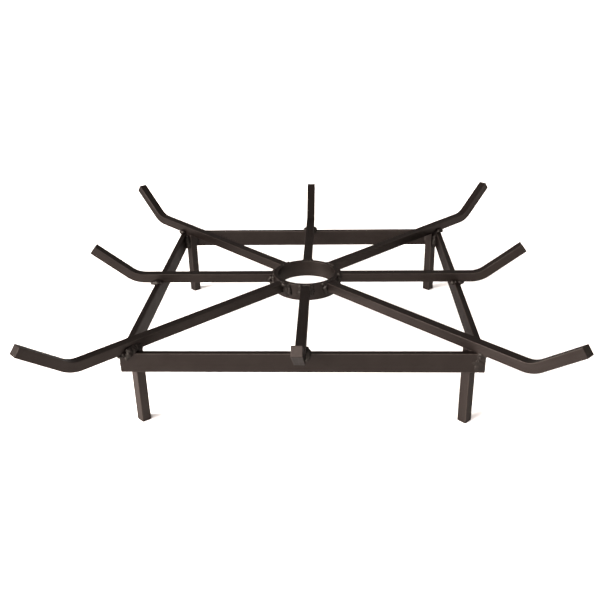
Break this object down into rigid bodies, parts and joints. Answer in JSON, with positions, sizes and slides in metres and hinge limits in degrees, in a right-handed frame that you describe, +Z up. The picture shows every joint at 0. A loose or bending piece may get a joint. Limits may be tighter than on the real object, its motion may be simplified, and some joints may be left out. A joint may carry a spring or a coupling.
{
  "type": "log grate",
  "caption": "Square steel grate for a fire pit or open hearth: bar arms radiate from a ring, lie across a square frame on legs and turn up at the ends to hold logs.",
  "frame": {"origin": "on the hub ring's axis, at floor level, where the four feet stand", "axes": "+Z up; -Y towards the front, the side the picture looks at; +X to the right seen from the front"},
  "size_m": [0.6146, 0.6146, 0.1572],
  "materials": {
    "bar": "satin dark brown-black heat-resistant paint",
    "weld": "satin dark brown-black heat-resistant paint over weld metal"
  },
  "bodies": {
    "root": {"rail_front": "bar", "rail_right": "bar", "rail_back": "bar", "rail_left": "bar", "leg_front_right": "bar", "leg_back_right": "bar", "leg_back_left": "bar", "leg_front_left": "bar", "hub_ring": "bar", "arm_front": "bar", "arm_right": "bar", "arm_back": "bar", "arm_left": "bar", "arm_front_right": "bar", "arm_back_right": "bar", "arm_back_left": "bar", "arm_front_left": "bar", "hub_weld_front": "weld", "hub_weld_right": "weld", "hub_weld_back": "weld", "hub_weld_left": "weld", "hub_weld_front_right": "weld", "hub_weld_back_right": "weld", "hub_weld_back_left": "weld", "hub_weld_front_left": "weld", "arm_weld_front": "weld", "arm_weld_right": "weld", "arm_weld_back": "weld", "arm_weld_left": "weld", "arm_weld_front_right": "weld", "arm_weld_back_right": "weld", "arm_weld_back_left": "weld", "arm_weld_front_left": "weld", "leg_weld_front_right": "weld", "leg_weld_back_right": "weld", "leg_weld_back_left": "weld", "leg_weld_front_left": "weld", "seam_weld_front_right": "weld", "seam_weld_back_right": "weld", "seam_weld_back_left": "weld", "seam_weld_front_left": "weld"}
  },
  "joints": []
}
